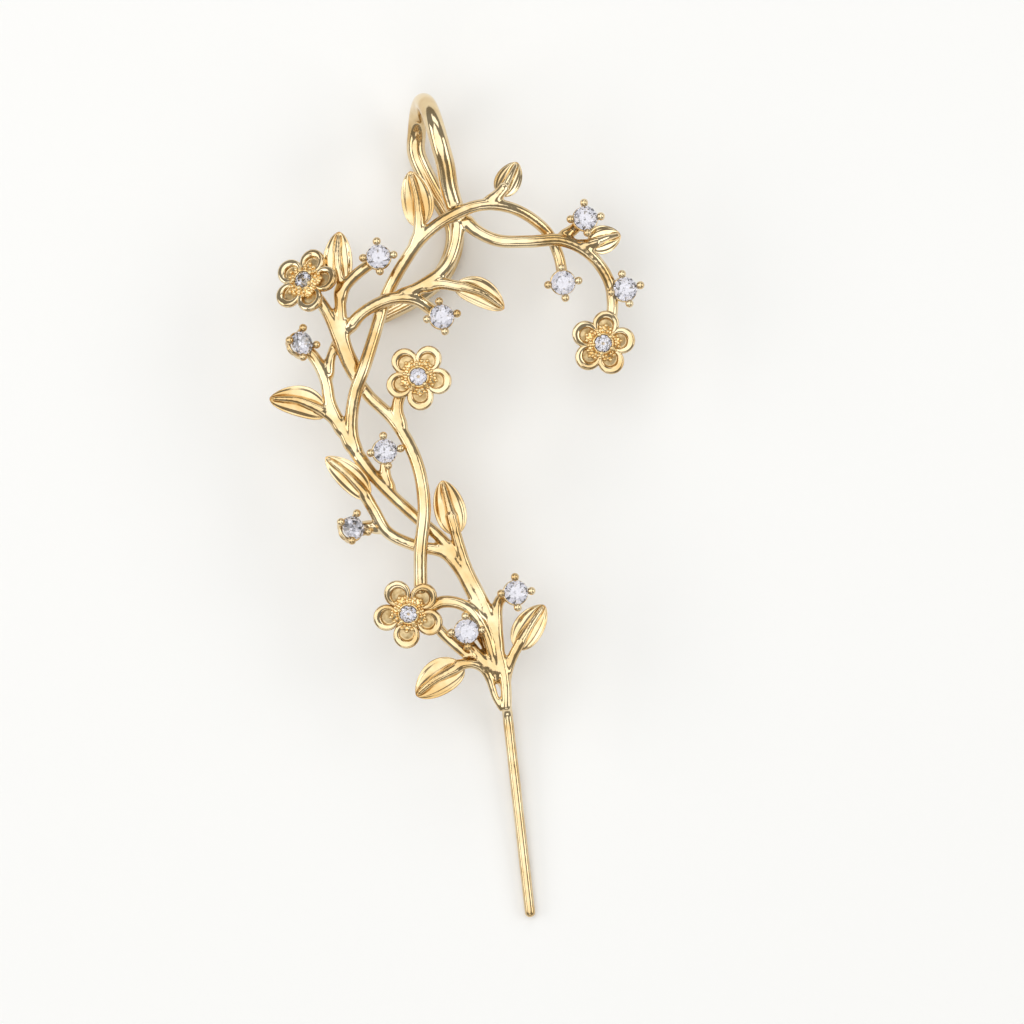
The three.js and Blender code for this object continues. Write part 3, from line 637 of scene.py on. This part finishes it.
def bladeObject():
    right = blade["section"]
    loop = right + [(-share, height) for share, height in reversed(right[1:-1])]
    points, bends = [], []
    gap = blade["endGap"]
    for i in range(blade["stations"] + 1):
        u = 0.5 - 0.5 * math.cos(math.pi * (i + gap) / (blade["stations"] + 2 * gap))
        t = u ** blade["bellyPower"]
        wide = (4 * t * (1 - t)) ** blade["tipPower"]
        bow = math.sin(math.pi * u)
        deep = blade["tipHeight"] + (1 - blade["tipHeight"]) * min(1, blade["tipRise"] * bow)
        crown = blade["crown"] * bow ** blade["crownPower"]
        for share, height in loop:
            lift = crown * (blade["crownSink"] - share * share)
            points.append((u, share * wide, deep * height + lift))
            bends.append(math.sin(math.pi * u ** blade["swingPower"]))
    around = len(loop)
    faces = [(low + j, low + around + j, low + around + (j + 1) % around, low + (j + 1) % around)
             for low in range(0, blade["stations"] * around, around) for j in range(around)]
    faces.append(tuple(range(around)))
    faces.append(tuple(reversed(range(len(points) - around, len(points)))))
    mesh = meshFrom("blade", points, faces)
    mesh.attributes.new("bend", "FLOAT", "POINT").data.foreach_set("value", bends)
    one = newObject("blade", mesh)
    smooth = one.modifiers.new("smooth", "SUBSURF")
    smooth.levels = smooth.render_levels = blade["subdivision"]
    return one


# The blade stands at every leaf's base, turned and sized for it, and then bends sideways with the midrib.
def leafTree():
    tree, given = newTree("leaf blades", {"Blade": "Object", "Metal": "Material"})
    one = addNode(tree, "GeometryNodeObjectInfo", inputs={"Object": given["Blade"]})
    turn, size = (addNode(tree, "GeometryNodeInputNamedAttribute", {"data_type": "FLOAT_VECTOR"},
                          {"Name": name}).outputs[0] for name in ("seatTurn", "leafSize"))
    swing, bend = (addNode(tree, "GeometryNodeInputNamedAttribute", {"data_type": "FLOAT"},
                           {"Name": name}).outputs[0] for name in ("swing", "bend"))
    placed = addNode(tree, "GeometryNodeInstanceOnPoints", inputs={
        "Points": given["Geometry"], "Instance": one.outputs["Geometry"], "Rotation": turn, "Scale": size})
    real = addNode(tree, "GeometryNodeRealizeInstances", inputs={"Geometry": placed.outputs[0]})
    sway = addNode(tree, "ShaderNodeMath", {"operation": "MULTIPLY"}, {0: swing, 1: bend})
    sideways = addNode(tree, "ShaderNodeCombineXYZ", inputs={"Y": sway.outputs[0]})
    offset = addNode(tree, "FunctionNodeRotateVector", inputs={
        "Vector": sideways.outputs[0], "Rotation": turn})
    bent = addNode(tree, "GeometryNodeSetPosition", inputs={
        "Geometry": real.outputs[0], "Offset": offset.outputs[0]})
    closeTree(tree, bent.outputs[0], given["Metal"])
    return tree


oneBlade = bladeObject()
leafSeats = seatPoints("leaf_blades", [leafMatrix(leaf) for leaf in leaves], {
    "leafSize": [(leafLength(leaf), leaf["width"] / 2, 1.0) for leaf in leaves],
    "swing": [leaf["swing"] for leaf in leaves]})
leafBlades = runTree(leafSeats, leafTree(), {"Blade": oneBlade, "Metal": polishedGold}, "leaf_blades")
finishPiece("leaf_blades", leafBlades, "gold", "gold_vine")

# A basket of four claws on a base ring, with a gallery ring half way up; each claw ends in a ball.
basket = {"claws": 4, "clawRadius": 0.2, "tipRadius": 0.35, "tipRing": 1.3, "tipHeight": 0.16,
          "tipSegments": 20, "tipRings": 12, "baseRing": 0.62, "baseDepth": 1.3, "baseWire": 0.19,
          "galleryRing": 0.98, "galleryDepth": 0.55, "galleryWire": 0.13, "belly": 0.22, "bellyDrop": 0.11,
          "wireSides": 12, "ringSides": 40}


# One thing at every seat, turned with it.
def atSeats(tree, points, thing):
    turn = addNode(tree, "GeometryNodeInputNamedAttribute", {"data_type": "FLOAT_VECTOR"}, {
        "Name": "seatTurn"})
    return addNode(tree, "GeometryNodeInstanceOnPoints", inputs={
        "Points": points, "Instance": thing, "Rotation": turn.outputs[0]}).outputs[0]


# Copies of one thing in a ring round every seat, each turned outwards. A lobed ring swells and shrinks.
def ringRound(tree, seats, thing, count, row, lobes=0, lobeDepth=0.0):
    copies = addNode(tree, "GeometryNodeDuplicateElements", {"domain": "POINT"}, {
        "Geometry": seats, "Amount": count})
    step = addNode(tree, "ShaderNodeMath", {"operation": "DIVIDE"}, {0: fullTurn, 1: count})
    place = addNode(tree, "ShaderNodeMath", {"operation": "ADD"}, {
        0: copies.outputs["Duplicate Index"], 1: row["start"]})
    angle = addNode(tree, "ShaderNodeMath", {"operation": "MULTIPLY"}, {
        0: place.outputs[0], 1: step.outputs[0]})
    spin = addNode(tree, "FunctionNodeAxisAngleToRotation", inputs={
        "Axis": (0, 0, 1), "Angle": angle.outputs[0]})
    seatTurn = addNode(tree, "GeometryNodeInputNamedAttribute", {"data_type": "FLOAT_VECTOR"}, {
        "Name": "seatTurn"})
    turn = addNode(tree, "FunctionNodeRotateRotation", {"rotation_space": "LOCAL"}, {
        "Rotation": seatTurn.outputs[0], "Rotate By": spin.outputs[0]})
    phase = addNode(tree, "ShaderNodeMath", {"operation": "MULTIPLY"}, {0: angle.outputs[0], 1: lobes})
    swell = addNode(tree, "ShaderNodeMath", {"operation": "COSINE"}, {0: phase.outputs[0]})
    factor = addNode(tree, "ShaderNodeMath", {"operation": "MULTIPLY_ADD"}, {
        0: swell.outputs[0], 1: lobeDepth, 2: 1.0})
    reach = addNode(tree, "ShaderNodeMath", {"operation": "MULTIPLY"}, {0: factor.outputs[0], 1: row["ring"]})
    outwards = addNode(tree, "ShaderNodeCombineXYZ", inputs={"X": reach.outputs[0], "Z": row["height"]})
    offset = addNode(tree, "FunctionNodeRotateVector", inputs={
        "Vector": outwards.outputs[0], "Rotation": turn.outputs[0]})
    spread = addNode(tree, "GeometryNodeSetPosition", inputs={
        "Geometry": copies.outputs["Geometry"], "Offset": offset.outputs[0]})
    return addNode(tree, "GeometryNodeInstanceOnPoints", inputs={
        "Points": spread.outputs[0], "Instance": thing, "Rotation": turn.outputs[0],
        "Scale": (row["size"],) * 3}).outputs[0]


def basketTree():
    tree, given = newTree("claw basket", {
        "Claws": "Int", "Claw Radius": "Float", "Tip Radius": "Float", "Metal": "Material"})
    wire = addNode(tree, "GeometryNodeCurvePrimitiveCircle", inputs={
        "Resolution": basket["wireSides"], "Radius": 1.0}).outputs["Curve"]
    parts = []
    for ringKey, depthKey, wireKey in (("baseRing", "baseDepth", "baseWire"),
                                       ("galleryRing", "galleryDepth", "galleryWire")):
        loop = addNode(tree, "GeometryNodeCurvePrimitiveCircle", inputs={
            "Resolution": basket["ringSides"], "Radius": basket[ringKey]})
        band = addNode(tree, "GeometryNodeCurveToMesh", inputs={
            "Curve": loop.outputs["Curve"], "Profile Curve": wire, "Scale": basket[wireKey]})
        parts.append(addNode(tree, "GeometryNodeTransform", inputs={
            "Geometry": band.outputs[0], "Translation": (0, 0, -basket[depthKey])}).outputs[0])
    start = Vector((basket["baseRing"], 0, -basket["baseDepth"]))
    end = Vector((basket["tipRing"], 0, basket["tipHeight"]))
    bow = (start + end) / 2 + Vector((basket["belly"], 0, -basket["bellyDrop"]))
    rod = addNode(tree, "GeometryNodeCurveQuadraticBezier", inputs={
        "Resolution": basket["wireSides"], "Start": start, "Middle": bow, "End": end})
    claw = addNode(tree, "GeometryNodeCurveToMesh", inputs={
        "Curve": rod.outputs[0], "Profile Curve": wire, "Scale": given["Claw Radius"], "Fill Caps": True})
    ball = addNode(tree, "GeometryNodeMeshUVSphere", inputs={
        "Segments": basket["tipSegments"], "Rings": basket["tipRings"], "Radius": given["Tip Radius"]})
    tip = addNode(tree, "GeometryNodeTransform", inputs={
        "Geometry": ball.outputs["Mesh"], "Translation": end})
    oneClaw = addNode(tree, "GeometryNodeJoinGeometry")
    for part in (claw.outputs[0], tip.outputs[0]):
        tree.links.new(part, oneClaw.inputs[0])
    bands = addNode(tree, "GeometryNodeJoinGeometry")
    for part in parts:
        tree.links.new(part, bands.inputs[0])
    claws = ringRound(tree, given["Geometry"], oneClaw.outputs[0], given["Claws"],
                      {"ring": 0.0, "height": 0.0, "start": 0.0, "size": 1.0})
    whole = addNode(tree, "GeometryNodeJoinGeometry")
    for part in (atSeats(tree, given["Geometry"], bands.outputs[0]), claws):
        tree.links.new(part, whole.inputs[0])
    closeTree(tree, whole.outputs[0], given["Metal"])
    return tree


clawPlaces = seatPoints("claw_settings", [seatMatrix(seat) for seat in clawSeats.values()], {})
settings = runTree(clawPlaces, basketTree(), {
    "Claws": basket["claws"], "Claw Radius": basket["clawRadius"], "Tip Radius": basket["tipRadius"],
    "Metal": polishedGold}, "claw_settings")
finishPiece("claw_settings", settings, "gold", "gold_vine")

# A petal is a cup with a broad bright rim, widest on the outside, round a sunk satin floor. Rings from
# the middle of its floor over the rim to the middle of its back: reach and shift towards the flower's
# middle as shares of the radius, then height in mm.
petal = {"count": 5, "radius": 1.14, "inset": 0.12, "tilt": 0.14, "around": 40, "floorRings": 3, "rings": [
    (0.0, 0.2, 0.3), (0.2, 0.2, 0.295), (0.38, 0.19, 0.28), (0.5, 0.18, 0.25), (0.54, 0.17, 0.26),
    (0.55, 0.165, 0.42), (0.57, 0.15, 0.53), (0.62, 0.12, 0.585), (0.7, 0.08, 0.61), (0.8, 0.04, 0.625),
    (0.89, 0.015, 0.61), (0.955, 0.0, 0.555), (0.99, 0.0, 0.45), (1.0, 0.0, 0.3), (0.97, 0.0, 0.13),
    (0.82, 0.0, 0.0), (0.45, 0.0, -0.06), (0.0, 0.0, -0.08)]}
# The inner layer: a five-lobed plate with a raised bezel, two rows of beads on it, the outer one along
# its edge, and bead claws over the small stone. Rings of the plate: radius share, height in mm.
heart = {"lobes": 5, "radius": 1.42, "lobeDepth": 0.13, "lobeStart": 0.6, "around": 60, "rings": [
    (0.0, 0.36), (0.5, 0.36), (0.53, 0.84), (0.58, 0.9), (0.63, 0.84), (0.66, 0.66), (0.8, 0.6),
    (0.95, 0.55), (1.0, 0.46), (0.97, 0.34), (0.8, 0.26), (0.0, 0.2)]}
beadRows = {
    "Edge Beads": {"count": 20, "ring": 1.38, "lobeDepth": 0.12, "height": 0.6, "start": 0.0, "size": 0.17},
    "Inner Beads": {"count": 15, "ring": 1.08, "lobeDepth": 0.05, "height": 0.67, "start": 0.5, "size": 0.17},
    "Claws": {"count": 5, "ring": 0.84, "lobeDepth": 0.0, "height": 0.95, "start": 0.5, "size": 0.2},
}
beadDetail = 3


# The front of a petal rises a little towards its outer side.
def petalPoint(share, shift, height, angle):
    x = share * math.cos(angle) - shift
    lean = 1 + petal["tilt"] * x if height > 0 else 1
    return Vector((petal["radius"] * x, petal["radius"] * share * math.sin(angle), height * lean))


# The plate is round in the middle and lobed towards its edge.
def heartPoint(share, height, angle):
    lobed = max(0, share - heart["lobeStart"]) / (1 - heart["lobeStart"])
    reach = heart["radius"] * share * (1 + heart["lobeDepth"] * math.cos(heart["lobes"] * angle) * lobed)
    return Vector((reach * math.cos(angle), reach * math.sin(angle), height))


# The first faces, on the petal's floor, are marked as recess.
def petalObject():
    mesh = ringedMesh("petal", petal["rings"], petal["around"], petalPoint)
    floorFaces = petal["floorRings"] * petal["around"]
    recess = mesh.attributes.new("recess", "BOOLEAN", "FACE")
    recess.data.foreach_set("value", [i < floorFaces for i in range(len(mesh.polygons))])
    return newObject("petal", mesh)


def petalTree():
    tree, given = newTree("flower petals", {
        "Petal": "Object", "Petals": "Int", "Metal": "Material", "Satin": "Material"})
    one = addNode(tree, "GeometryNodeObjectInfo", inputs={"Object": given["Petal"]})
    ring = addNode(tree, "GeometryNodeInputNamedAttribute", {"data_type": "FLOAT"}, {"Name": "ring"})
    row = {"ring": ring.outputs[0], "height": 0.0, "start": 0.0, "size": 1.0}
    petals = ringRound(tree, given["Geometry"], one.outputs["Geometry"], given["Petals"], row)
    closeTree(tree, petals, given["Metal"], given["Satin"])
    return tree


def heartTree():
    tree, given = newTree("flower hearts", {
        "Heart": "Object", **{name: "Int" for name in beadRows}, "Metal": "Material"})
    one = addNode(tree, "GeometryNodeObjectInfo", inputs={"Object": given["Heart"]})
    bead = addNode(tree, "GeometryNodeMeshIcoSphere", inputs={
        "Radius": 1.0, "Subdivisions": beadDetail})
    whole = addNode(tree, "GeometryNodeJoinGeometry")
    tree.links.new(atSeats(tree, given["Geometry"], one.outputs["Geometry"]), whole.inputs[0])
    for name, row in beadRows.items():
        beads = ringRound(tree, given["Geometry"], bead.outputs["Mesh"], given[name], row,
                          heart["lobes"], row["lobeDepth"])
        tree.links.new(beads, whole.inputs[0])
    closeTree(tree, whole.outputs[0], given["Metal"])
    return tree


flowerPlaces = [seatMatrix(seat) for seat in flowerSeats.values()]
onePetal = petalObject()
oneHeart = newObject("heart", ringedMesh("heart", heart["rings"], heart["around"], heartPoint))
petalSeats = seatPoints("flower_petals", flowerPlaces, {
    "ring": [seat["ring"] - petal["inset"] for seat in flowerSeats.values()]})
petals = runTree(petalSeats, petalTree(), {
    "Petal": onePetal, "Petals": petal["count"], "Metal": polishedGold, "Satin": satinGold}, "flower_petals")
finishPiece("flower_petals", petals, "gold", "gold_vine")
hearts = runTree(seatPoints("flower_hearts", flowerPlaces, {}), heartTree(), {
    "Heart": oneHeart, **{name: row["count"] for name, row in beadRows.items()}, "Metal": tumbledGold},
    "flower_hearts")
finishPiece("flower_hearts", hearts, "gold", "gold_vine")

# Round brilliants with an eight-sided table, kites, stars and girdle facets. The two radii and the small
# stones' lift are in mm, and the other sizes are shares of the radius.
cut = {"sides": 8, "radius": 1.03, "smallRadius": 0.72, "table": 0.56, "starRing": 0.8, "crown": 0.32,
       "girdle": 0.04, "pavilion": 0.86, "lowRing": 0.24, "smallGirdleLift": 0.86}


def brilliantMesh(name, radius):
    sides = cut["sides"]
    half = fullTurn / (2 * sides)
    crownSlope = cut["crown"] / (1 - cut["table"])
    underSlope = cut["pavilion"] - cut["girdle"]
    starHeight = cut["crown"] - (cut["starRing"] * math.cos(half) - cut["table"]) * crownSlope
    lowHeight = -cut["girdle"] - (1 - cut["lowRing"] * math.cos(half)) * underSlope
    # Rings from the table down: corners, share of the radius, height, turn.
    rings = [(sides, cut["table"], cut["crown"], 0), (sides, cut["starRing"], starHeight, half),
             (2 * sides, 1, 0, 0), (2 * sides, 1, -cut["girdle"], 0),
             (sides, cut["lowRing"], lowHeight, half), (1, 0, -cut["pavilion"], 0)]
    points, starts = [], []
    for count, share, height, turn in rings:
        starts.append(len(points))
        angles = [fullTurn * k / count + turn for k in range(count)]
        points += [Vector((share * math.cos(a), share * math.sin(a), height)) * radius for a in angles]
    table, star, top, under, low, culet = starts
    faces = [tuple(range(sides))]
    for k in range(sides):
        after, before = (k + 1) % sides, (k - 1) % sides
        girdle, side, back = 2 * k, 2 * k + 1, (2 * k - 1) % (2 * sides)
        faces += [(table + k, star + k, table + after),
                  (table + k, star + before, top + girdle, star + k),
                  (star + k, top + girdle, top + side),
                  (star + before, top + back, top + girdle),
                  (under + girdle, low + k, under + side),
                  (under + girdle, under + back, low + before),
                  (under + girdle, low + before, culet, low + k)]
    for k in range(2 * sides):
        after = (k + 1) % (2 * sides)
        faces.append((top + k, under + k, under + after, top + after))
    return meshFrom(name, points, faces)


for node, seat in {**clawSeats, **flowerSeats}.items():
    isSmall = node in flowerSeats
    mesh = brilliantMesh("brilliant_" + node, cut["smallRadius"] if isSmall else cut["radius"])
    mesh.materials.append(clearZirconia)
    mesh.transform(seatMatrix(seat) @ Matrix.Translation((0, 0, cut["smallGirdleLift"] if isSmall else 0)))
    finishPiece("brilliant_" + node, mesh, "crystal", node, smooth=False)

for helper in (oneBlade, onePetal, oneHeart):
    bpy.data.objects.remove(helper)
